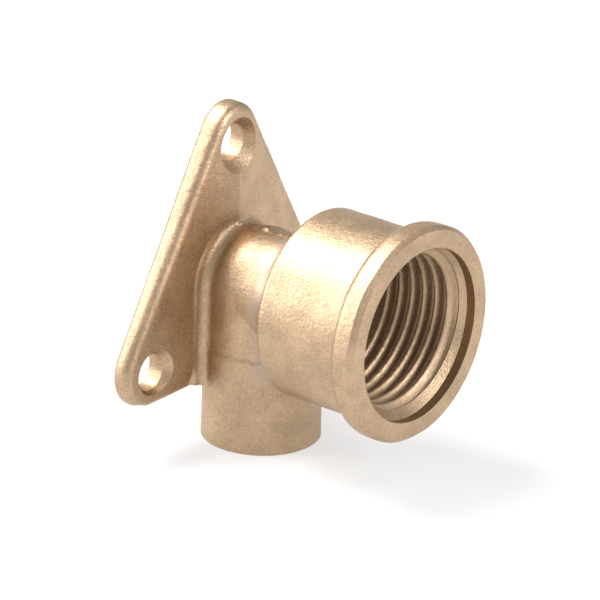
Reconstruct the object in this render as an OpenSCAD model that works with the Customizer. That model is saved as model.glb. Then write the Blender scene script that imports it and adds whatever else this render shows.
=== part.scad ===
// Wall plate elbow: a one-piece cast fitting that turns a soldered tube through a
// right angle into a threaded socket, and screws flat to a wall by its plate.
// Millimetres. The back of the plate lies in the plane X = 0, the socket points
// along +X with its axis through the origin, and the tube cup points down.

/* [Socket] */
// Distance from the wall to the face of the socket's mouth
mouth_x = 31.3; // [31:0.1:38]
// Outer radius of the socket's barrel
socket_r = 11.8; // [11.7:0.05:12.4]
// Distance from the wall to the socket's rear shoulder
shoulder_x = 15.6; // [15.2:0.1:16.4]
// Rounding of the rear shoulder's edge
shoulder_round = 0.4; // [0.2:0.1:0.8]
// Minor radius of the internal pipe thread, size 1/2
thread_minor_r = 9.316; // [9.2:0.002:9.4]
// Length of the threaded bore behind the lead-in cone
thread_len = 12.2; // [10:0.1:12.4]
// Radius of the plain counterbore in the mouth
counterbore_r = 10.83; // [10.5:0.01:11]
// Depth of the plain counterbore
counterbore_depth = 1.2; // [0.8:0.1:1.8]

/* [Bead round the mouth] */
// Outer radius of the bead
bead_r = 13.45; // [13.35:0.05:14]
// Width of the bead, from its rear edge to the turned bevel
bead_w = 3.2; // [2.6:0.1:4.6]
// Rounding of the bead's rear edge
bead_rear_round = 1.3; // [0.4:0.1:1.5]
// Rounding of the bead's front edge, beside the turned bevel
bead_front_round = 0.25; // [0.1:0.05:0.6]
// Radius of the fillet between the barrel and the bead
bead_fillet = 0.6; // [0.3:0.1:0.9]
// Radius of the mouth's flat turned face
face_r = 12.95; // [12.5:0.05:13]
// Depth of the turned bevel round that face
bevel_depth = 0.4; // [0.3:0.05:0.8]
// How much wider the bevel is at its rear than at the face
bevel_flare = 0.3; // [0.1:0.05:0.35]

/* [Body and neck] */
// Radius of the round body, with its domed top
body_r = 7.1; // [6.9:0.05:7.15]
// Radius of the neck between the body and the socket
neck_r = 7.05; // [6.8:0.05:7.1]
// Radius of the hollow sweep from the neck up to the socket's shoulder
neck_sweep = 4.2; // [2.5:0.1:4.2]
// Radius of the fillet where the body meets the plate
foot_fillet = 1.2; // [0.8:0.1:1.4]

/* [Tube cup] */
// Distance from the wall to the axis of the tube cup
cup_x = 7.6; // [7.6:0.05:8.4]
// Outer radius of the cup at its open end
cup_mouth_r = 7.4; // [7.3:0.05:7.55]
// Outer radius of the cup at its upper edge
cup_top_r = 7.22; // [7.18:0.02:7.3]
// Distance from the socket's axis down to the cup's open end
cup_end = 19.5; // [19:0.1:24]
// Distance from the socket's axis down to the step at the cup's upper edge
cup_step = 7.4; // [7.2:0.1:8.5]
// Bore radius of the cup, for a tube of 12 mm outside diameter
cup_bore_r = 6.06; // [6.03:0.01:6.1]
// Depth of the cup down to the stop for the tube
cup_depth = 9.2; // [8.6:0.1:10.2]

/* [Waterway] */
// Radius of the passage between the cup and the socket
way_r = 5; // [4.5:0.1:5.4]

/* [Wall plate] */
// Thickness on the upright centre line, level with the lower corners
ridge_low_t = 3.9; // [3.7:0.05:4.2]
// Thickness on the upright centre line, level with the upper corner
ridge_top_t = 3.35; // [3.25:0.05:3.7]
// Thickness round the upper corner
top_t = 3.05; // [2.9:0.05:3.2]
// Thickness round the two lower corners
side_t = 2.45; // [2.2:0.05:2.8]
// Radius of the upper corner
top_corner_r = 4.1; // [4:0.05:4.8]
// Height of the upper corner's centre over the socket's axis
top_corner_z = 17.95; // [17.5:0.05:18.5]
// Radius of the lower corners
side_corner_r = 4.7; // [4.5:0.05:5.2]
// Depth of the lower corners' centres under the socket's axis
side_corner_z = 8.3; // [8:0.05:8.8]
// Rounding of the front edge
front_round = 1.15; // [0.6:0.05:1.25]
// Rounding of the back edge
back_round = 0.6; // [0.3:0.05:0.8]

/* [Screw holes] */
// Radius of the circle that the three screw holes stand on, round the socket's axis
hole_circle_r = 17; // [16.8:0.1:17.4]
// Radius of the plain part of each screw hole
screw_r = 2.3; // [2:0.05:2.4]
// Distance from the wall to where the countersinks start
sink_x = 2.05; // [1.7:0.05:2.3]

/* [Hidden] */
$fn = 96;
hull_fn = 32;
overlap = 0.5;
ridge_r = 0.05;
bend_gain = 0.05;
foot_sink = 0.02;
bronze = [0.66, 0.53, 0.39];
hole_angles = [90, 210, 330];
// Lengthwise places on the socket, counted from the wall
bead_front_x = mouth_x - bevel_depth;
bead_x = bead_front_x - bead_w;
barrel_x = shoulder_x + shoulder_round;
lead_x = mouth_x - counterbore_depth;
thread_x = lead_x - (counterbore_r - thread_minor_r);
thread_end_x = thread_x - thread_len;
// The sweep stays inside the shoulder's flat rear face
sweep = min(neck_sweep, socket_r - shoulder_round - neck_r);
// The plate's face falls away evenly from the centre line to the corners' flats
side_corner_y = hole_circle_r * cos(hole_angles[2]);
face_y = side_corner_y + side_corner_r - front_round;
// The fillet at the foot touches the plate's face where the body's side meets it
foot_x = ridge_low_t - (ridge_low_t - side_t) * body_r / face_y;
foot_centre_x = foot_x + foot_fillet;
// Its round sinks a little into the body
foot_reach = body_r + foot_fillet - foot_sink;
foot_centre_r = sqrt(pow(foot_reach, 2) - pow(cup_x - foot_centre_x, 2));
foot_top_x = foot_centre_x + foot_fillet * (cup_x - foot_centre_x) / foot_reach;
foot_z = back_round - side_corner_z - side_corner_r;
cup_stop_z = cup_depth - cup_end;

// Turn what was made about Z so that its axis lies along +X
module along_x() {
    rotate([0, 90, 0]) children();
}

// Put what was made at the socket's axis on each screw hole
module at_holes(angles) {
    for (a = angles) translate([0, hole_circle_r * cos(a), hole_circle_r * sin(a)]) children();
}

// Rounded disc that makes one corner of the plate
module plate_corner(y, z, r, t) {
    translate([0, y, z]) along_x() rotate_extrude($fn = hull_fn) {
        translate([r - back_round, back_round]) circle(back_round, $fn = hull_fn);
        translate([r - front_round, t - front_round]) circle(front_round, $fn = hull_fn);
    }
}

// Triangular plate, thickest on its upright centre line
module plate() {
    hull() {
        plate_corner(0, top_corner_z, top_corner_r, top_t);
        for (side = [-1, 1]) plate_corner(side * side_corner_y, -side_corner_z, side_corner_r, side_t);
        translate([0, 0, -side_corner_z]) along_x() cylinder(h = ridge_low_t, r = ridge_r, $fn = 16);
        translate([0, 0, top_corner_z]) along_x() cylinder(h = ridge_top_t, r = ridge_r, $fn = 16);
    }
}

// Barrel of the socket with its swept neck and rounded rear shoulder
module barrel_profile() {
    square([neck_r, shoulder_x + overlap]);
    difference() {
        translate([0, shoulder_x - sweep]) square([neck_r + sweep, sweep]);
        translate([neck_r + sweep, shoulder_x - sweep]) circle(sweep);
    }
    translate([0, shoulder_x]) square([socket_r - shoulder_round, mouth_x - shoulder_x]);
    translate([0, barrel_x]) square([socket_r, bead_front_x - barrel_x]);
    translate([socket_r - shoulder_round, barrel_x]) circle(shoulder_round);
}

// Bead round the mouth, with the fillet behind it
module bead_profile() {
    rear_x = bead_x + bead_rear_round;
    front_x = bead_front_x - bead_front_round;
    translate([0, bead_x]) square([bead_r - bead_rear_round, bead_rear_round]);
    translate([0, rear_x]) square([bead_r, front_x - rear_x]);
    translate([0, front_x]) square([bead_r - bead_front_round, bead_front_round]);
    translate([bead_r - bead_rear_round, rear_x]) circle(bead_rear_round);
    translate([bead_r - bead_front_round, front_x]) circle(bead_front_round);
    difference() {
        translate([0, bead_x - bead_fillet]) square([socket_r + bead_fillet, bead_fillet + overlap]);
        translate([socket_r + bead_fillet, bead_x - bead_fillet]) circle(bead_fillet);
    }
}

// Outside of the socket, turned about its axis from the middle of the body outwards
module socket_outside() {
    along_x() {
        rotate_extrude() difference() {
            union() {
                barrel_profile();
                bead_profile();
            }
            square([mouth_x, cup_x]);
        }
        translate([0, 0, bead_front_x - overlap]) cylinder(h = overlap, r = face_r + bevel_flare);
        translate([0, 0, bead_front_x]) cylinder(h = bevel_depth, r1 = face_r + bevel_flare, r2 = face_r);
    }
}

// Upright round body with its domed top, and the slightly thicker tube cup under it
module upright_outside() {
    rotate_extrude() {
        intersection() {
            circle(body_r);
            square(body_r);
        }
        translate([0, -cup_step - overlap]) square([body_r, cup_step + overlap]);
    }
    translate([0, 0, -cup_end]) cylinder(h = cup_end - cup_step, r1 = cup_mouth_r, r2 = cup_top_r);
}

// Half section of the filleted foot, from the centre outwards and from the wall up
module foot_profile() {
    difference() {
        square([foot_centre_r, foot_top_x]);
        translate([foot_centre_r, foot_centre_x]) circle(foot_fillet);
    }
}

// Filleted foot that joins the body to the plate: an arch on top, upright sides below
module foot() {
    along_x() rotate_extrude() foot_profile();
    translate([0, 0, foot_z])
        linear_extrude(-foot_z) rotate([0, 0, 90]) {
            mirror([0, 1]) foot_profile();
            mirror([1, 0]) mirror([0, 1]) foot_profile();
        }
}

// Counterbore, lead-in cone, thread's minor bore and the way in behind it
module socket_inside() {
    along_x() {
        translate([0, 0, lead_x]) cylinder(h = counterbore_depth + overlap, r = counterbore_r);
        translate([0, 0, thread_x]) cylinder(h = lead_x - thread_x, r1 = thread_minor_r, r2 = counterbore_r);
        translate([0, 0, thread_end_x]) cylinder(h = thread_len, r = thread_minor_r);
        translate([0, 0, thread_end_x - (thread_minor_r - way_r) / 2])
            cylinder(h = (thread_minor_r - way_r) / 2, r1 = way_r, r2 = thread_minor_r);
        translate([0, 0, cup_x]) cylinder(h = thread_end_x - cup_x, r = way_r);
    }
}

// Tube cup with its stop, and the passage up to the socket's axis
module cup_inside() {
    translate([0, 0, -cup_end - overlap]) cylinder(h = cup_depth + overlap, r = cup_bore_r);
    translate([0, 0, cup_stop_z - overlap]) cylinder(h = overlap - cup_stop_z, r = way_r);
    sphere(way_r + bend_gain);
}

// Plain hole through the plate with a right-angled countersink
module screw_hole() {
    along_x() {
        translate([0, 0, -overlap]) cylinder(h = sink_x + 2 * overlap, r = screw_r);
        translate([0, 0, sink_x]) cylinder(h = ridge_low_t, r1 = screw_r, r2 = screw_r + ridge_low_t);
    }
}

// The whole fitting, cast in one piece and then bored
module wall_plate_elbow() {
    color(bronze) difference() {
        union() {
            plate();
            foot();
            translate([cup_x, 0, 0]) upright_outside();
            socket_outside();
        }
        socket_inside();
        translate([cup_x, 0, 0]) cup_inside();
        at_holes(hole_angles) screw_hole();
    }
}

wall_plate_elbow();
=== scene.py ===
"""A bronze wall plate elbow on a pale studio floor.

The fitting is one casting. Its skin is built from the same forms and sizes as the CAD solid, roughened as
cast and shot-blasted metal is, and then bored, threaded and faced as on a lathe. Lengths are in millimetres
until a mesh is made, which is in metres, in the frame of the CAD model.
"""
import logging
import math
from dataclasses import dataclass
from enum import Enum
from typing import Any, Iterable, Mapping, Sequence, Union

import bmesh
import bpy
import numpy as np
from mathutils import Matrix, Vector, noise


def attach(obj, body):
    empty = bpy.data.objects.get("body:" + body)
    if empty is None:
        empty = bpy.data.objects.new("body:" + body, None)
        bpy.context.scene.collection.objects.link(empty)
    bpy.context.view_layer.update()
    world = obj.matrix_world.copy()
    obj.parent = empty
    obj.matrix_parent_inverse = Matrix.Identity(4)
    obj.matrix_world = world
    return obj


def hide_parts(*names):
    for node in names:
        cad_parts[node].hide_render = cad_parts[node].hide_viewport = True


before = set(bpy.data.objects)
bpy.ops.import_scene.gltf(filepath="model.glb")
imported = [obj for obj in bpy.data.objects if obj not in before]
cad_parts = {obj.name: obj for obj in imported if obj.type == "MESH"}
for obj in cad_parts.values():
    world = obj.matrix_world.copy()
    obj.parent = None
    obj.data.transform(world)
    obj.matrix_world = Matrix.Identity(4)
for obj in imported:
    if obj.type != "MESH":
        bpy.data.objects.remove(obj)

LOG = logging.getLogger("elbow")
MM = 0.001
NODE = "wall_plate_elbow"

Pair = tuple[float, float]
Triple = tuple[float, float, float]
Number = Union[float, "Val"]


class Axis(Enum):
    """The axis that a turned form is turned about."""

    X = "x"
    Z = "z"


class Metal(Enum):
    """The finishes on the casting, by material slot."""

    SKIN = 0
    FACE = 1
    BORE = 2
    CUP = 3
    HOLES = 4


# Shader maths

class Val:
    """A value socket that takes part in Python's arithmetic and adds Math nodes as it goes."""

    def __init__(self, graph: "Graph", socket: bpy.types.NodeSocket) -> None:
        """Wrap a socket.

        Args:
            graph: The graph that the socket belongs to.
            socket: An output socket that gives a number.
        """
        self.graph = graph
        self.socket = socket

    def _join(self, operation: str, first: Number, *others: Number) -> "Val":
        """Add one Math node.

        Args:
            operation: The Math node's operation.
            first: Its first operand.
            others: Its other operands.

        Returns:
            The node's result.
        """
        links = {str(i): value for i, value in enumerate((first, *others))}
        return self.graph.value("ShaderNodeMath", {"operation": operation}, links)

    def __add__(self, other: Number) -> "Val":
        """Give the sum."""
        return self._join("ADD", self, other)

    def __radd__(self, other: Number) -> "Val":
        """Give the sum with a number in front."""
        return self._join("ADD", other, self)

    def __sub__(self, other: Number) -> "Val":
        """Give the difference."""
        return self._join("SUBTRACT", self, other)

    def __rsub__(self, other: Number) -> "Val":
        """Give the difference with a number in front."""
        return self._join("SUBTRACT", other, self)

    def __mul__(self, other: Number) -> "Val":
        """Give the product."""
        return self._join("MULTIPLY", self, other)

    def __rmul__(self, other: Number) -> "Val":
        """Give the product with a number in front."""
        return self._join("MULTIPLY", other, self)

    def __truediv__(self, other: Number) -> "Val":
        """Give the quotient."""
        return self._join("DIVIDE", self, other)

    def __rtruediv__(self, other: Number) -> "Val":
        """Give the quotient with a number in front."""
        return self._join("DIVIDE", other, self)

    def __pow__(self, other: Number) -> "Val":
        """Give the power."""
        return self._join("POWER", self, other)

    def __neg__(self) -> "Val":
        """Give the value with its sign changed."""
        return self._join("MULTIPLY", self, -1.0)

    def absolute(self) -> "Val":
        """Give the value without its sign."""
        return self._join("ABSOLUTE", self)

    def root(self) -> "Val":
        """Give the square root."""
        return self._join("SQRT", self)

    def least(self, other: Number) -> "Val":
        """Give the smaller of two values."""
        return self._join("MINIMUM", self, other)

    def most(self, other: Number) -> "Val":
        """Give the larger of two values."""
        return self._join("MAXIMUM", self, other)

    def ramp(self, low: float, high: float) -> "Val":
        """Rise smoothly from 0 at one value to 1 at another.

        Args:
            low: Where the result is 0.
            high: Where the result is 1; it may be the smaller of the two.

        Returns:
            A value from 0 to 1.
        """
        settings = {"interpolation_type": "SMOOTHSTEP"}
        return self.graph.value("ShaderNodeMapRange", settings,
                                {"Value": self, "From Min": low, "From Max": high, "To Min": 0.0, "To Max": 1.0})


class Graph:
    """The node tree of one material or world."""

    def __init__(self, owner: Union[bpy.types.Material, bpy.types.World]) -> None:
        """Empty the owner's node tree.

        Args:
            owner: The material or world to fill.
        """
        owner.use_nodes = True
        self.tree = owner.node_tree
        self.tree.nodes.clear()

    def add(self, kind: str, settings: Mapping[str, Any] = {}, inputs: Mapping[str, Any] = {}) -> bpy.types.Node:
        """Add a node of any type.

        Args:
            kind: The node's type name.
            settings: Its properties, set before its sockets.
            inputs: A value, Val or output socket for each input, by name or number.

        Returns:
            The new node.
        """
        node = self.tree.nodes.new(kind)
        for name, value in settings.items():
            if name == "stops":
                self._set_stops(node.color_ramp, value)
            else:
                setattr(node, name, value)
        for name, value in inputs.items():
            socket = node.inputs[int(name) if name.isdigit() else name]
            if isinstance(value, Val):
                self.tree.links.new(value.socket, socket)
            elif isinstance(value, bpy.types.NodeSocket):
                self.tree.links.new(value, socket)
            elif value is not None:
                socket.default_value = value
        return node

    @staticmethod
    def _set_stops(ramp: bpy.types.ColorRamp, stops: Sequence[tuple[float, Triple]]) -> None:
        """Give a colour ramp its stops.

        Args:
            ramp: The ramp of a new node, which has two stops.
            stops: Positions with their colours, in rising order.
        """
        while len(ramp.elements) < len(stops):
            ramp.elements.new(1.0)
        for element, (position, colour) in zip(ramp.elements, stops):
            element.position = position
            element.color = (*colour, 1.0)

    def value(self, kind: str, settings: Mapping[str, Any] = {}, inputs: Mapping[str, Any] = {},
              output: Union[int, str] = 0) -> Val:
        """Add a node and wrap one of its outputs as a number.

        Args:
            kind: The node's type name.
            settings: Its properties.
            inputs: Its input values and links.
            output: The output's name or number.

        Returns:
            The output as a value.
        """
        return Val(self, self.add(kind, settings, inputs).outputs[output])

    def mix(self, amount: Number, first: Any, second: Any, blend: str = "MIX") -> bpy.types.NodeSocket:
        """Mix two colours.

        Args:
            amount: How much of the second colour there is.
            first: A colour, or a socket that gives one.
            second: The other colour or socket.
            blend: The Mix node's blend type.

        Returns:
            The mixed colour's socket.
        """
        as_colour = [(*c, 1.0) if isinstance(c, tuple) else c for c in (first, second)]
        node = self.add("ShaderNodeMix", {"data_type": "RGBA", "blend_type": blend},
                        {"0": amount, "6": as_colour[0], "7": as_colour[1]})
        return node.outputs[2]

    def noise(self, place: bpy.types.NodeSocket, scale: float, detail: float = 2.0, rough: float = 0.5) -> Val:
        """Add a noise texture.

        Args:
            place: The coordinates, in millimetres.
            scale: Its waves in a millimetre.
            detail: Its finer layers.
            rough: The strength of those layers.

        Returns:
            A value round 0.5.
        """
        return self.value("ShaderNodeTexNoise", {"noise_dimensions": "3D"},
                          {"Vector": place, "Scale": scale, "Detail": detail, "Roughness": rough})


@dataclass(frozen=True)
class Place:
    """Where a point of a surface is, as sockets in millimetres."""

    vector: bpy.types.NodeSocket
    x: Val
    y: Val
    z: Val

    @classmethod
    def of(cls, graph: Graph) -> "Place":
        """Read the object's own coordinates.

        Args:
            graph: The material's graph.

        Returns:
            The place in millimetres.
        """
        coordinates = graph.add("ShaderNodeTexCoord")
        scaled = graph.add("ShaderNodeVectorMath", {"operation": "SCALE"},
                           {"Vector": coordinates.outputs["Object"], "Scale": 1.0 / MM})
        parts = graph.add("ShaderNodeSeparateXYZ", {}, {"Vector": scaled.outputs[0]})
        return cls(scaled.outputs[0], *(Val(graph, parts.outputs[i]) for i in range(3)))

    def off_axis(self, y: float = 0.0, z: float = 0.0) -> Val:
        """Give the distance from a line along X.

        Args:
            y: The line's place across.
            z: The line's height.

        Returns:
            The distance in millimetres.
        """
        across, up = self.y - y, self.z - z
        return (across * across + up * up).root()


# Finishes

@dataclass(frozen=True)
class CastSkin:
    """Shot-blasted bronze as cast: golden tan, with bright and dark grains."""

    name: str = "cast_bronze_skin"
    tan: Triple = (0.62, 0.45, 0.29)
    brown: Triple = (0.40, 0.285, 0.19)
    # Painted shade colour of the hollow bands behind the socket and the bead
    grey: Triple = (0.47, 0.37, 0.30)
    grain: float = 4.2
    depth: float = 0.055
    roughness: float = 0.46

    def make(self) -> bpy.types.Material:
        """Build the material.

        Returns:
            The new material.
        """
        material = bpy.data.materials.new(self.name)
        graph = Graph(material)
        place = Place.of(graph)
        radius = place.off_axis()
        # Hollow bands behind the socket and the bead: painted shade greys their colour there, and the blast reaches
        # them less, so their grain is also smoother
        neck = place.x.ramp(10.6, 11.6) * place.x.ramp(15.7, 15.2) * radius.ramp(12.0, 11.0)
        behind_bead = place.x.ramp(26.9, 27.3) * place.x.ramp(28.1, 27.7) * radius.ramp(12.6, 12.0)
        hollow = (neck + behind_bead).least(1.0)
        fine = graph.noise(place.vector, self.grain, 3.0, 0.62)
        medium = graph.noise(place.vector, self.grain * 0.42, 2.0, 0.5)
        cloud = graph.noise(place.vector, 0.24, 3.0, 0.55)
        speck = graph.value("ShaderNodeTexVoronoi", {"feature": "F1"},
                            {"Vector": place.vector, "Scale": self.grain * 0.8})
        height = fine * 0.55 + medium * 0.35 + speck * 0.35
        strength = 1.0 - hollow * 0.6
        tone = (cloud.ramp(0.3, 0.7) * 0.45 + fine.ramp(0.35, 0.68) * 0.55).least(1.0)
        colour = graph.mix(tone, self.brown, self.tan)
        # Painted shade: the hollow bands are greyed towards this colour
        colour = graph.mix(hollow * 0.75, colour, self.grey)
        shine = self.roughness + (medium - 0.5) * 0.22 + hollow * 0.05
        bump = graph.add("ShaderNodeBump", {}, {"Strength": 1.0, "Distance": self.depth * MM,
                                                "Height": height * strength})
        shader = graph.add("ShaderNodeBsdfPrincipled", {},
                           {"Base Color": colour, "Metallic": 1.0, "Roughness": shine,
                            "Normal": bump.outputs["Normal"]})
        graph.add("ShaderNodeOutputMaterial", {}, {"Surface": shader.outputs["BSDF"]})
        return material


@dataclass(frozen=True)
class TurnedMetal:
    """Bare bronze with the rings that a lathe or a drill leaves."""

    name: str
    colour: Triple
    shade: Triple
    roughness: float
    rings: float = 9.0
    depth: float = 0.004
    axis: Axis = Axis.X
    # How far inwards from x = 30 mm the painted shade in the bore deepens; 0 for none
    dull_depth: float = 0.0

    def make(self, centres: Sequence[Pair] = ((0.0, 0.0),)) -> bpy.types.Material:
        """Build the material.

        Args:
            centres: For turning about X, the places (y, z) of the axes; each point takes the nearest one.
                For turning about Z, one place (x, y).

        Returns:
            The new material.
        """
        material = bpy.data.materials.new(self.name)
        graph = Graph(material)
        place = Place.of(graph)
        if self.axis is Axis.X:
            radius = place.off_axis(*centres[0])
            for centre in centres[1:]:
                radius = radius.least(place.off_axis(*centre))
            along = place.x
        else:
            across = place.x - centres[0][0]
            radius = (across * across + place.y * place.y).root()
            along = place.z
        track = radius + along
        rings = graph.value("ShaderNodeTexNoise", {"noise_dimensions": "1D"},
                            {"W": track, "Scale": self.rings, "Detail": 3.0, "Roughness": 0.7})
        patch = graph.noise(place.vector, 0.6, 3.0, 0.6)
        grain = graph.noise(place.vector, 5.0, 2.0, 0.5)
        tone = (rings.ramp(0.3, 0.72) * 0.5 + patch.ramp(0.3, 0.7) * 0.5).least(1.0)
        colour = graph.mix(tone, self.shade, self.colour)
        # Painted shade: the colour darkens towards dark brown deeper in the bore, from x = 30 mm inwards
        if self.dull_depth:
            depth = place.x.ramp(30.0, 30.0 - self.dull_depth)
            colour = graph.mix(depth * 0.8, colour, (0.24, 0.13, 0.09))
        shine = self.roughness + (patch - 0.5) * 0.16 + (rings - 0.5) * 0.12
        bump = graph.add("ShaderNodeBump", {}, {"Strength": 1.0, "Distance": self.depth * MM,
                                                "Height": rings + grain * 0.5})
        shader = graph.add("ShaderNodeBsdfPrincipled", {},
                           {"Base Color": colour, "Metallic": 1.0, "Roughness": shine,
                            "Normal": bump.outputs["Normal"]})
        graph.add("ShaderNodeOutputMaterial", {}, {"Surface": shader.outputs["BSDF"]})
        return material


# Mesh making

def arc(centre: Pair, radius: float, start: float, end: float, steps: int) -> list[Pair]:
    """Give points on an arc.

    Args:
        centre: The arc's centre.
        radius: Its radius.
        start: The angle of its first point, in degrees.
        end: The angle of its last point.
        steps: How many pieces it has.

    Returns:
        The points from start to end.
    """
    angles = (math.radians(start + (end - start) * i / steps) for i in range(steps + 1))
    return [(centre[0] + radius * math.cos(a), centre[1] + radius * math.sin(a)) for a in angles]


def new_object(name: str, verts: Iterable[Sequence[float]], faces: Iterable[Sequence[int]]) -> bpy.types.Object:
    """Make a mesh object and link it to the scene.

    Args:
        name: The object's name.
        verts: Corner points in millimetres.
        faces: Corner numbers of each face.

    Returns:
        The new object, with its faces turned outwards.
    """
    mesh = bpy.data.meshes.new(name)
    mesh.from_pydata([tuple(c * MM for c in v) for v in verts], [], [tuple(f) for f in faces])
    form = bmesh.new()
    form.from_mesh(mesh)
    bmesh.ops.recalc_face_normals(form, faces=form.faces)
    form.to_mesh(mesh)
    form.free()
    made = bpy.data.objects.new(name, mesh)
    bpy.context.scene.collection.objects.link(made)
    return made


def turned_point(axis: Axis, radius: float, along: float, angle: float, centre: Triple) -> Triple:
    """Place a point of a turned form.

    Args:
        axis: The axis it is turned about.
        radius: Its distance from that axis.
        along: Its place along it.
        angle: Its angle round it, in radians.
        centre: A point that the axis goes through.

    Returns:
        The point in millimetres.
    """
    c, s = radius * math.cos(angle), radius * math.sin(angle)
    if axis is Axis.X:
        return centre[0] + along, centre[1] + c, centre[2] + s
    return centre[0] + c, centre[1] + s, centre[2] + along


def lathe(name: str, outline: Sequence[Pair], axis: Axis, centre: Triple = (0.0, 0.0, 0.0),
          segments: int = 160) -> bpy.types.Object:
    """Turn an outline about an axis into a closed form.

    Args:
        name: The object's name.
        outline: (radius, along) points. An outline that starts and ends on the axis makes a solid, any
            other closes on itself as a ring.
        axis: The axis.
        centre: A point that the axis goes through.
        segments: How many steps the turn has.

    Returns:
        The new object.
    """
    verts: list[Triple] = []
    rows: list[list[int]] = []
    for radius, along in outline:
        if radius < 1e-6:
            rows.append([len(verts)] * segments)
            verts.append(turned_point(axis, 0.0, along, 0.0, centre))
        else:
            rows.append(list(range(len(verts), len(verts) + segments)))
            verts.extend(turned_point(axis, radius, along, 2 * math.pi * i / segments, centre)
                         for i in range(segments))
    ring = outline[0][0] > 1e-6
    pairs = list(zip(rows, rows[1:])) + ([(rows[-1], rows[0])] if ring else [])
    faces = []
    for low, high in pairs:
        for i in range(segments):
            j = (i + 1) % segments
            corners = list(dict.fromkeys((low[i], low[j], high[j], high[i])))
            if len(corners) > 2:
                faces.append(corners)
    return new_object(name, verts, faces)


def prism(name: str, outline: Sequence[Pair], low: float, high: float) -> bpy.types.Object:
    """Raise an outline of (x, y) points along Z.

    Args:
        name: The object's name.
        outline: Corner points of a closed flat form.
        low: The height of its foot.
        high: The height of its top.

    Returns:
        The new object.
    """
    count = len(outline)
    verts = [(x, y, z) for z in (low, high) for x, y in outline]
    sides = [(i, (i + 1) % count, (i + 1) % count + count, i + count) for i in range(count)]
    return new_object(name, verts, [tuple(range(count)), tuple(range(count, 2 * count)), *sides])


def apply_modifiers(piece: bpy.types.Object) -> None:
    """Turn a piece's modifiers into plain mesh.

    Args:
        piece: The object.
    """
    graph = bpy.context.evaluated_depsgraph_get()
    mesh = bpy.data.meshes.new_from_object(piece.evaluated_get(graph))
    piece.modifiers.clear()
    old = piece.data
    piece.data = mesh
    bpy.data.meshes.remove(old)


def remove(pieces: Iterable[bpy.types.Object]) -> None:
    """Delete objects that were only needed to make another.

    Args:
        pieces: The objects.
    """
    for piece in pieces:
        mesh = piece.data
        bpy.data.objects.remove(piece)
        bpy.data.meshes.remove(mesh)


def fuse(name: str, parts: Sequence[bpy.types.Object], voxel: float) -> bpy.types.Object:
    """Melt overlapping closed forms into one even skin.

    Args:
        name: The object's name.
        parts: The forms, which are used up.
        voxel: The size of the skin's quads.

    Returns:
        The new object.
    """
    whole = bmesh.new()
    for part in parts:
        whole.from_mesh(part.data)
    mesh = bpy.data.meshes.new(name)
    whole.to_mesh(mesh)
    whole.free()
    remove(parts)
    made = bpy.data.objects.new(name, mesh)
    bpy.context.scene.collection.objects.link(made)
    remesh = made.modifiers.new("skin", "REMESH")
    remesh.mode = "VOXEL"
    remesh.voxel_size = voxel * MM
    ease = made.modifiers.new("ease", "SMOOTH")
    ease.factor = 0.5
    ease.iterations = 2
    apply_modifiers(made)
    return made


def cut(piece: bpy.types.Object, cutters: Sequence[bpy.types.Object]) -> None:
    """Cut closed forms out of a piece.

    Args:
        piece: The object to cut.
        cutters: The forms, which are used up.
    """
    for cutter in cutters:
        difference = piece.modifiers.new(cutter.name, "BOOLEAN")
        difference.operation = "DIFFERENCE"
        difference.solver = "MANIFOLD"
        difference.object = cutter
        apply_modifiers(piece)
        LOG.info("cut %s: %d faces", cutter.name, len(piece.data.polygons))
    remove(cutters)


# The casting's forms

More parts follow.
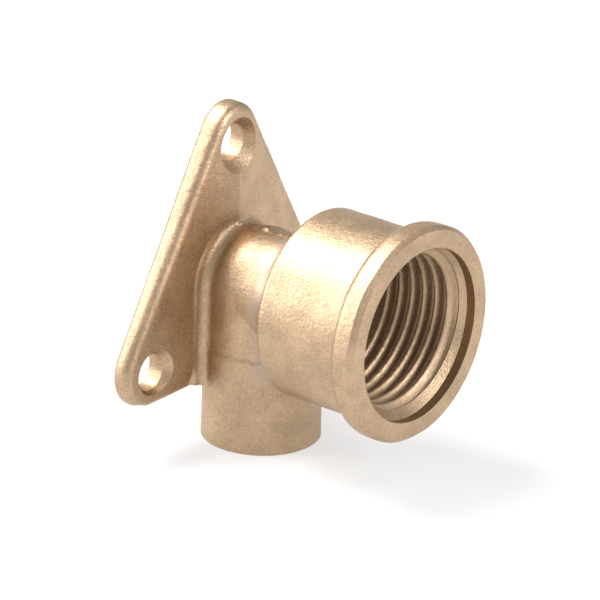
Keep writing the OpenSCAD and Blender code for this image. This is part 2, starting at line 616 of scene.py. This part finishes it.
@dataclass
class Plate:
    """Triangular wall plate, thickest on its upright centre line."""

    ridge_low_t: float = 3.9
    ridge_top_t: float = 3.35
    top_t: float = 3.05
    side_t: float = 2.45
    top_corner_r: float = 4.1
    top_corner_z: float = 17.95
    side_corner_r: float = 4.7
    side_corner_z: float = 8.3
    front_round: float = 1.15
    back_round: float = 0.6
    hole_circle_r: float = 17.0
    screw_r: float = 2.3
    sink_x: float = 2.05
    ground: float = 0.12

    @property
    def hole_centres(self) -> list[Pair]:
        """Give the places (y, z) of the screw holes."""
        angles = (math.radians(a) for a in (90.0, 210.0, 330.0))
        return [(self.hole_circle_r * math.cos(a), self.hole_circle_r * math.sin(a)) for a in angles]

    @property
    def side_corner_y(self) -> float:
        """Give how far across the lower corners stand."""
        return self.hole_circle_r * math.cos(math.radians(30.0))

    def face_x(self, across: float) -> float:
        """Give the height of the front over the wall beside the body.

        Args:
            across: The distance from the centre line.

        Returns:
            The distance from the wall.
        """
        reach = self.side_corner_y + self.side_corner_r - self.front_round
        return self.ridge_low_t - (self.ridge_low_t - self.side_t) * across / reach

    def _corner(self, y: float, z: float, r: float, t: float) -> list[Triple]:
        """Give points on one rounded corner.

        Args:
            y: The corner's place across.
            z: Its height.
            r: Its radius.
            t: Its thickness.

        Returns:
            Points whose hull is the corner.
        """
        front = arc((r - self.front_round, t - self.front_round), self.front_round, 0.0, 90.0, 10)
        back = arc((r - self.back_round, self.back_round), self.back_round, 0.0, -90.0, 6)
        back.append((r - self.back_round, -self.ground))
        turns = [2 * math.pi * i / 96 for i in range(96)]
        return [turned_point(Axis.X, radius, along, turn, (0.0, y, z)) for radius, along in front + back
                for turn in turns]

    def blank(self) -> bpy.types.Object:
        """Build the plate as cast.

        Returns:
            A closed form, a little too thick at its back.
        """
        points = self._corner(0.0, self.top_corner_z, self.top_corner_r, self.top_t)
        for side in (-1.0, 1.0):
            points += self._corner(side * self.side_corner_y, -self.side_corner_z, self.side_corner_r, self.side_t)
        points += [(self.ridge_low_t, 0.0, -self.side_corner_z), (self.ridge_top_t, 0.0, self.top_corner_z)]
        form = bmesh.new()
        for point in points:
            form.verts.new(tuple(c * MM for c in point))
        hull = bmesh.ops.convex_hull(form, input=form.verts)
        inside = {item for item in hull["geom_interior"] + hull["geom_unused"] if isinstance(item, bmesh.types.BMVert)}
        bmesh.ops.delete(form, geom=list(inside), context="VERTS")
        mesh = bpy.data.meshes.new("plate_blank")
        form.to_mesh(mesh)
        form.free()
        made = bpy.data.objects.new("plate_blank", mesh)
        bpy.context.scene.collection.objects.link(made)
        return made

    def cutters(self) -> list[bpy.types.Object]:
        """Build the drills for the screw holes and the grinder for the back.

        Returns:
            The closed forms to cut away.
        """
        front = self.ridge_low_t + 1.0
        outline = [(0.0, -1.0), (self.screw_r, -1.0), (self.screw_r, self.sink_x),
                   (self.screw_r + front - self.sink_x, front), (0.0, front)]
        drills = [lathe(f"screw_drill_{i}", outline, Axis.X, (0.0, y, z), 96)
                  for i, (y, z) in enumerate(self.hole_centres)]
        grinder = lathe("back_grinder", [(0.0, -2.0), (30.0, -2.0), (30.0, 0.0), (0.0, 0.0)], Axis.X, segments=48)
        return [grinder, *drills]


@dataclass
class Body:
    """Upright round body with its domed top, its filleted foot and the tube cup under it."""

    plate: Plate
    body_r: float = 7.1
    foot_fillet: float = 1.2
    cup_x: float = 7.6
    cup_mouth_r: float = 7.4
    cup_top_r: float = 7.22
    cup_end: float = 19.5
    cup_step: float = 7.4
    cup_bore_r: float = 6.06
    cup_depth: float = 9.2
    way_r: float = 5.0

    def _foot_section(self) -> list[Pair]:
        """Give the foot's half section.

        Returns:
            (distance from the centre, distance from the wall) points of a closed form.
        """
        centre_x = self.plate.face_x(self.body_r) + self.foot_fillet
        centre_r = math.sqrt((self.body_r + self.foot_fillet) ** 2 - (self.cup_x - centre_x) ** 2)
        lean = math.degrees(math.atan2(self.cup_x - centre_x, -centre_r))
        hollow = arc((centre_r, centre_x), self.foot_fillet, 270.0, lean, 12)
        return [(0.0, 0.4), (centre_r, 0.4), *hollow, (0.0, hollow[-1][1])]

    def blanks(self) -> list[bpy.types.Object]:
        """Build the body, the cup and the foot as cast.

        Returns:
            Closed forms that overlap.
        """
        low = -self.cup_end - 0.4
        outline = [(0.0, low), (self.cup_mouth_r, low), (self.cup_top_r, -self.cup_step - 0.05),
                   (self.body_r, -self.cup_step + 0.05), *arc((0.0, 0.0), self.body_r, 0.0, 90.0, 40)]
        upright = lathe("upright_blank", outline, Axis.Z, (self.cup_x, 0.0, 0.0))
        section = self._foot_section()
        arch = lathe("arch_blank", section, Axis.X)
        both = [(x, -r) for r, x in section[1:-1]] + [(x, r) for r, x in reversed(section[1:-1])]
        bottom = self.plate.back_round - self.plate.side_corner_z - self.plate.side_corner_r
        limbs = prism("limb_blank", both, bottom, 0.0)
        return [upright, arch, limbs]

    def cutters(self) -> list[bpy.types.Object]:
        """Build the drill for the cup and its passage, and the saw for its end.

        Returns:
            The closed forms to cut away.
        """
        stop, below = self.cup_depth - self.cup_end, -self.cup_end - 1.0
        outline = [(0.0, below), (self.cup_bore_r, below), (self.cup_bore_r, stop), (self.way_r, stop),
                   *arc((0.0, 0.0), self.way_r, 0.0, 90.0, 16)]
        drill = lathe("cup_drill", outline, Axis.Z, (self.cup_x, 0.0, 0.0), 128)
        saw = lathe("cup_saw", [(0.0, below), (11.0, below), (11.0, -self.cup_end), (0.0, -self.cup_end)],
                    Axis.Z, (self.cup_x, 0.0, 0.0), 48)
        return [saw, drill]


@dataclass
class Socket:
    """Threaded socket with its swept neck, its bead and its turned mouth."""

    body: Body
    mouth_x: float = 31.3
    socket_r: float = 11.8
    shoulder_x: float = 15.6
    shoulder_round: float = 0.5
    neck_r: float = 7.05
    neck_sweep: float = 4.2
    bead_r: float = 13.45
    bead_x: float = 27.7
    bead_rear_round: float = 1.25
    bead_fillet: float = 0.4
    face_r: float = 12.95
    bevel_slope: float = 0.75
    bevel_off: Pair = (0.06, 0.05)
    counterbore_r: float = 10.83
    counterbore_depth: float = 1.2
    minor_r: float = 9.316
    major_r: float = 10.479
    thread_len: float = 12.2
    pitch: float = 1.8143
    thread_turn: float = 0.0
    around: int = 128
    rows: int = 12

    def blank(self) -> bpy.types.Object:
        """Build the socket as cast.

        Returns:
            A closed form, a little too long at its mouth.
        """
        sweep = min(self.neck_sweep, self.socket_r - self.shoulder_round - self.neck_r)
        start = self.shoulder_x - sweep
        front = self.mouth_x + 0.4
        outline = [(0.0, self.body.cup_x), (self.neck_r, self.body.cup_x),
                   *arc((self.neck_r + sweep, start), sweep, 180.0, 90.0, 16),
                   *arc((self.socket_r - self.shoulder_round, self.shoulder_x + self.shoulder_round),
                        self.shoulder_round, -90.0, 0.0, 5),
                   *arc((self.socket_r + self.bead_fillet, self.bead_x - self.bead_fillet),
                        self.bead_fillet, 180.0, 90.0, 5),
                   *arc((self.bead_r - self.bead_rear_round, self.bead_x + self.bead_rear_round),
                        self.bead_rear_round, -90.0, 0.0, 8),
                   (self.bead_r, front), (0.0, front)]
        return lathe("socket_blank", outline, Axis.X, segments=200)

    @property
    def thread_x(self) -> float:
        """Give where the lead-in cone reaches the thread's minor radius."""
        return self.mouth_x - self.counterbore_depth - (self.counterbore_r - self.minor_r)

    def _thread_radius(self, phase: float) -> float:
        """Give the thread's radius along one pitch.

        Args:
            phase: The place in the pitch, from 0 to 1; 0 is the middle of the groove.

        Returns:
            The radius, between the minor and the major one.
        """
        depth = self.major_r - self.minor_r
        away = abs((phase + 0.5) % 1.0 - 0.5) * self.pitch
        straight = self.pitch / 2 - away
        sharp = (straight - self.pitch / 4) / math.tan(math.radians(27.5))
        soft = 0.18
        middle = (self.major_r + self.minor_r) / 2
        reach = depth / 2
        height = max(-reach * 1.35, min(reach * 1.35, sharp))
        eased = reach * math.tanh(height / reach * 1.15) / math.tanh(1.15 * 1.35 - soft * 0.0)
        return middle + max(-reach, min(reach, eased))

    def _thread_tap(self) -> bpy.types.Object:
        """Build the tap: a closed form with the thread's helix on its outside.

        Returns:
            The new object.
        """
        inner = self.thread_x - self.thread_len
        outer = self.mouth_x + 0.6
        step = self.pitch / self.rows
        count = int(math.ceil((outer - inner) / step)) + self.rows
        verts: list[Triple] = []
        for row in range(count):
            for i in range(self.around):
                part = i / self.around
                x = inner - self.pitch + (row * step) + part * self.pitch
                radius = self._thread_radius(row / self.rows)
                run_out = min(1.0, max(0.0, (x - inner - 0.4) / 1.6))
                radius = self.minor_r - 0.25 + (radius - self.minor_r + 0.25) * run_out
                angle = 2 * math.pi * part + self.thread_turn
                verts.append(turned_point(Axis.X, radius, x, angle, (0.0, 0.0, 0.0)))
        faces: list[tuple[int, ...]] = []

        def number(row: int, i: int) -> int:
            """Give the corner at a step round a row, going on along the helix."""
            return (row + (i // self.around) * self.rows) * self.around + i % self.around

        for row in range(count - 1):
            for i in range(self.around):
                corners = [number(row, i), number(row, i + 1), number(row + 1, i + 1), number(row + 1, i)]
                if max(corners) < len(verts):
                    faces.append(tuple(corners))
        tap = new_object("thread_tap", verts, faces)
        form = bmesh.new()
        form.from_mesh(tap.data)
        loose = [v for v in form.verts if not v.link_faces]
        bmesh.ops.delete(form, geom=loose, context="VERTS")
        edges = [e for e in form.edges if e.is_boundary]
        loops = self._boundary_loops(edges)
        for loop in loops:
            middle = sum((v.co for v in loop), Vector()) / len(loop)
            hub = form.verts.new((middle.x, 0.0, 0.0))
            for first, second in zip(loop, loop[1:] + loop[:1]):
                form.faces.new((first, second, hub))
        bmesh.ops.recalc_face_normals(form, faces=form.faces)
        form.to_mesh(tap.data)
        form.free()
        return tap

    @staticmethod
    def _boundary_loops(edges: Sequence[bmesh.types.BMEdge]) -> list[list[bmesh.types.BMVert]]:
        """Order open edges into loops.

        Args:
            edges: Edges with one face each.

        Returns:
            The corners of each loop, in order.
        """
        left = set(edges)
        loops = []
        while left:
            edge = next(iter(left))
            left.discard(edge)
            loop = [edge.verts[0], edge.verts[1]]
            while True:
                step = next((e for e in loop[-1].link_edges if e in left), None)
                if step is None:
                    break
                left.discard(step)
                loop.append(step.other_vert(loop[-1]))
            if loop[0] is loop[-1]:
                loop.pop()
            loops.append(loop)
        return loops

    def cutters(self) -> list[bpy.types.Object]:
        """Build the tools that face, bevel, bore and thread the mouth.

        Returns:
            The closed forms to cut away.
        """
        way_r = self.body.way_r
        inner = self.thread_x - self.thread_len
        lead = self.mouth_x - self.counterbore_depth
        far = self.mouth_x + 1.0
        bore = [(0.0, self.body.cup_x), (way_r, self.body.cup_x), (way_r, inner - (self.minor_r - way_r) / 2),
                (self.minor_r, inner), (self.minor_r, self.thread_x), (self.counterbore_r, lead),
                (self.counterbore_r, far), (0.0, far)]
        facing = [(0.0, self.mouth_x), (16.0, self.mouth_x), (16.0, far + 1.0), (0.0, far + 1.0)]
        back = self.mouth_x - 1.4
        bevel = [(self.face_r - 0.2 * self.bevel_slope, self.mouth_x + 0.2),
                 (self.face_r + 1.4 * self.bevel_slope, back), (17.0, back), (17.0, self.mouth_x + 0.2)]
        return [lathe("mouth_facing", facing, Axis.X, segments=48),
                lathe("mouth_bevel", bevel, Axis.X, (0.0, *self.bevel_off), 200),
                lathe("mouth_bore", bore, Axis.X, segments=160),
                self._thread_tap()]


@dataclass
class SkinWork:
    """What casting and cleaning leave on the skin."""

    body: Body
    wave: float = 0.045
    ripple: float = 0.02
    flash: float = 0.42

    def roughen(self, piece: bpy.types.Object) -> None:
        """Move the skin's points as the mould and the blast left them.

        Args:
            piece: The casting before it is machined.
        """
        mesh = piece.data
        count = len(mesh.vertices)
        places = np.empty(count * 3, np.float32)
        normals = np.empty(count * 3, np.float32)
        mesh.vertices.foreach_get("co", places)
        mesh.vertex_normals.foreach_get("vector", normals)
        places = places.reshape(-1, 3) / MM
        normals = normals.reshape(-1, 3)
        shift = np.array([self._shift(Vector(p), Vector(n)) for p, n in zip(places.tolist(), normals.tolist())])
        places = (places + normals * shift[:, None]) * MM
        mesh.vertices.foreach_set("co", places.astype(np.float32).ravel())
        mesh.update()

    def _shift(self, place: Vector, normal: Vector) -> float:
        """Give how far one point moves along its normal.

        Args:
            place: The point in millimetres.
            normal: Its outward direction.

        Returns:
            The distance in millimetres.
        """
        move = self.wave * noise.noise(place * 0.33) + self.ripple * noise.noise(place * 1.9)
        return move + self._flash(place, normal)

    def _flash(self, place: Vector, normal: Vector) -> float:
        """Give the height of the parting flash over the dome.

        Args:
            place: The point in millimetres.
            normal: Its outward direction.

        Returns:
            The height in millimetres.
        """
        if place.z < 6.0 or normal.z < 0.5 or not 3.6 < place.x < 12.2:
            return 0.0
        line = 0.12 * math.sin(place.x * 1.3)
        across = math.exp(-((place.y - line) / 0.26) ** 2)
        broken = 0.55 + 0.9 * noise.noise(Vector((place.x * 1.7, 3.1, 0.4)))
        gap = 1.0 - math.exp(-((place.x - 9.2) / 0.55) ** 2)
        return self.flash * across * max(0.0, broken) * gap

    def dent(self, piece: bpy.types.Object, marks: Sequence[tuple[Triple, float, float]]) -> None:
        """Press small pits into the skin.

        Args:
            piece: The casting.
            marks: The middle, radius and depth of each pit.
        """
        for corner in piece.data.vertices:
            for middle, radius, depth in marks:
                away = (corner.co / MM - Vector(middle)).length / radius
                if away < 2.0:
                    corner.co -= corner.normal * (depth * MM * math.exp(-away * away * 1.5))


@dataclass
class Casting:
    """The whole fitting: cast in one piece, then ground, drilled, turned and tapped."""

    plate: Plate
    body: Body
    socket: Socket
    voxel: float = 0.24

    def build(self) -> bpy.types.Object:
        """Make the casting's mesh.

        Returns:
            The object, with a material slot number on every face.
        """
        blanks = [self.plate.blank(), *self.body.blanks(), self.socket.blank()]
        piece = fuse("elbow_casting", blanks, self.voxel)
        LOG.info("skin: %d faces", len(piece.data.polygons))
        work = SkinWork(self.body)
        work.roughen(piece)
        work.dent(piece, [((3.5, 0.4, 12.3), 0.3, 0.12), ((3.45, 0.3, 13.1), 0.22, 0.07),
                          ((1.6, -16.2, -12.6), 0.8, 0.35), ((11.1, -6.15, -7.4), 0.3, 0.15)])
        cut(piece, self.plate.cutters() + self.body.cutters() + self.socket.cutters())
        self._sort_faces(piece)
        mesh = piece.data
        mesh.polygons.foreach_set("use_smooth", [True] * len(mesh.polygons))
        mesh.set_sharp_from_angle(angle=math.radians(32.0))
        mesh.update()
        return piece

    def _sort_faces(self, piece: bpy.types.Object) -> None:
        """Give each face the slot of the tool that made it.

        Args:
            piece: The machined casting.
        """
        mesh = piece.data
        count = len(mesh.polygons)
        centre = np.empty(count * 3, np.float32)
        normal = np.empty(count * 3, np.float32)
        mesh.polygons.foreach_get("center", centre)
        mesh.polygons.foreach_get("normal", normal)
        x, y, z = (centre.reshape(-1, 3) / MM).T
        nx = normal.reshape(-1, 3)[:, 0]
        socket, body, plate = self.socket, self.body, self.plate
        radius = np.hypot(y, z)
        slot = np.full(count, Metal.SKIN.value)
        near = 0.02
        away = np.hypot(y - socket.bevel_off[0], z - socket.bevel_off[1])
        cone = socket.face_r + (socket.mouth_x - x) * socket.bevel_slope
        slot[(np.abs(away - cone) < near) & (x > socket.mouth_x - 1.4) & (nx > 0.3)] = Metal.FACE.value
        slot[np.abs(x - socket.mouth_x) < near] = Metal.FACE.value
        slot[(radius < socket.counterbore_r + near) & (x > body.cup_x) & (x < socket.mouth_x - near)
             & ((radius < 10.6) | (x > 29.5)) & ((x > 13.0) | (radius < body.way_r + near))] = Metal.BORE.value
        from_cup = np.hypot(x - body.cup_x, y)
        slot[(from_cup < body.cup_bore_r + near) & (z < 0.0)] = Metal.CUP.value
        slot[(np.abs(z + body.cup_end) < near)] = Metal.CUP.value
        for hole_y, hole_z in plate.hole_centres:
            reach = np.hypot(y - hole_y, z - hole_z)
            wall = plate.screw_r + np.maximum(0.0, x - plate.sink_x)
            slot[(np.abs(reach - wall) < near) & (x < 4.0)] = Metal.HOLES.value
        mesh.polygons.foreach_set("material_index", slot.astype(np.int32))

    def dress(self, piece: bpy.types.Object) -> None:
        """Give the casting its finishes.

        Args:
            piece: The machined casting.
        """
        finishes = {
            Metal.SKIN: CastSkin().make(),
            Metal.FACE: TurnedMetal("turned_face", (0.60, 0.43, 0.285), (0.53, 0.375, 0.245), 0.30).make(),
            Metal.BORE: TurnedMetal("threaded_bore", (0.58, 0.41, 0.26), (0.47, 0.32, 0.20), 0.30,
                                    dull_depth=7.0).make(),
            Metal.CUP: TurnedMetal("drilled_cup", (0.60, 0.43, 0.28), (0.50, 0.35, 0.22), 0.32,
                                   axis=Axis.Z).make([(self.body.cup_x, 0.0)]),
            Metal.HOLES: TurnedMetal("drilled_screw_holes", (0.68, 0.52, 0.36), (0.58, 0.42, 0.27), 0.24,
                                     rings=6.0).make(self.plate.hole_centres),
        }
        piece.data.materials.clear()
        for metal in Metal:
            piece.data.materials.append(finishes[metal])


# The studio

@dataclass
class Studio:
    """Pale floor, soft lights and the camera at the photograph's angle."""

    floor_z: float = -19.5
    azimuth: float = 37.7075
    elevation: float = 22.9893
    roll: float = 1.6482
    distance: float = 730.3873
    shift_x: float = -10.2596
    shift_y: float = 3.9404
    focal_px: float = 6000.0
    frame_px: float = 600.0

    def axes(self) -> tuple[Vector, Vector, Vector]:
        """Give the camera's right, up and backward directions."""
        a, e, r = (math.radians(v) for v in (self.azimuth, self.elevation, self.roll))
        back = Vector((math.sin(a) * math.cos(e), -math.cos(a) * math.cos(e), math.sin(e)))
        right = Vector((0.0, 0.0, 1.0)).cross(back).normalized()
        up = back.cross(right)
        return (right * math.cos(r) + up * math.sin(r), up * math.cos(r) - right * math.sin(r), back)

    def camera(self) -> None:
        """Put the camera where the photograph's was."""
        right, up, back = self.axes()
        place = (right * -self.shift_x + up * -self.shift_y + back * self.distance) * MM
        data = bpy.data.cameras.new("camera")
        data.sensor_width = 36.0
        data.lens = data.sensor_width * self.focal_px / self.frame_px
        data.clip_start = 0.05
        data.clip_end = 20.0
        eye = bpy.data.objects.new("camera", data)
        turn = Matrix((right, up, back)).transposed().to_4x4()
        eye.matrix_world = Matrix.Translation(place) @ turn
        bpy.context.scene.collection.objects.link(eye)
        bpy.context.scene.camera = eye

    def lamp(self, name: str, place: Triple, aim: Triple, size: Pair, power: float,
             colour: Triple = (1.0, 1.0, 1.0)) -> None:
        """Add a soft box.

        Args:
            name: The lamp's name.
            place: Its place in millimetres.
            aim: The point it looks at.
            size: Its width and height in millimetres.
            power: Its power in watts.
            colour: Its colour.
        """
        data = bpy.data.lights.new(name, "AREA")
        data.shape = "RECTANGLE"
        data.size, data.size_y = size[0] * MM, size[1] * MM
        data.energy = power
        data.color = colour
        lamp = bpy.data.objects.new(name, data)
        way = Vector(aim) - Vector(place)
        lamp.matrix_world = Matrix.Translation(Vector(place) * MM) @ way.to_track_quat("-Z", "Y").to_matrix().to_4x4()
        bpy.context.scene.collection.objects.link(lamp)

    def floor(self) -> None:
        """Lay the pale floor."""
        reach = 3000.0
        corners = [(-reach, -reach), (reach, -reach), (reach, reach), (-reach, reach)]
        floor = new_object("floor", [(x, y, self.floor_z) for x, y in corners], [(0, 1, 2, 3)])
        material = bpy.data.materials.new("pale_floor")
        graph = Graph(material)
        paths = graph.add("ShaderNodeLightPath")
        seen = Val(graph, paths.outputs["Is Camera Ray"]).most(Val(graph, paths.outputs["Is Glossy Ray"]))
        seen = seen.most(Val(graph, paths.outputs["Is Transmission Ray"]))
        matt = graph.add("ShaderNodeBsdfDiffuse", {}, {"Color": (0.86, 0.86, 0.86, 1.0)})
        glow = graph.add("ShaderNodeEmission", {}, {"Color": (1.0, 1.0, 1.0, 1.0), "Strength": 1.0})
        both = graph.add("ShaderNodeMixShader", {}, {"0": seen * 0.62, "1": matt.outputs[0], "2": glow.outputs[0]})
        graph.add("ShaderNodeOutputMaterial", {}, {"Surface": both.outputs[0]})
        floor.data.materials.append(material)

    def sky(self) -> None:
        """Light the room evenly."""
        world = bpy.data.worlds.new("studio")
        bpy.context.scene.world = world
        graph = Graph(world)
        glow = graph.add("ShaderNodeBackground", {}, {"Color": (1.0, 1.0, 1.0, 1.0), "Strength": 0.55})
        graph.add("ShaderNodeOutputWorld", {}, {"Surface": glow.outputs[0]})

    def build(self) -> None:
        """Set up the studio."""
        self.camera()
        self.floor()
        self.sky()
        self.lamp("key", (-350.0, -150.0, 700.0), (12.0, 0.0, 0.0), (420.0, 420.0), 9.0, (1.0, 0.97, 0.93))
        self.lamp("left", (-600.0, -500.0, 250.0), (5.0, 0.0, 0.0), (300.0, 400.0), 3.5)
        self.lamp("right", (650.0, 100.0, 300.0), (20.0, 0.0, 0.0), (350.0, 350.0), 3.0)


def main() -> None:
    """Build the fitting and its studio, and log the casting's triangle count."""
    logging.basicConfig(level=logging.INFO, format="%(message)s")
    bpy.context.scene.view_settings.view_transform = "Standard"
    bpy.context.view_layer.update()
    plate = Plate()
    body = Body(plate)
    casting = Casting(plate, body, Socket(body))
    piece = casting.build()
    casting.dress(piece)
    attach(piece, "root")
    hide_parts(NODE)
    Studio().build()
    triangles = sum(len(p.vertices) - 2 for p in piece.data.polygons)
    LOG.info("%s: %d triangles", piece.name, triangles)


if __name__ == "__main__":
    main()
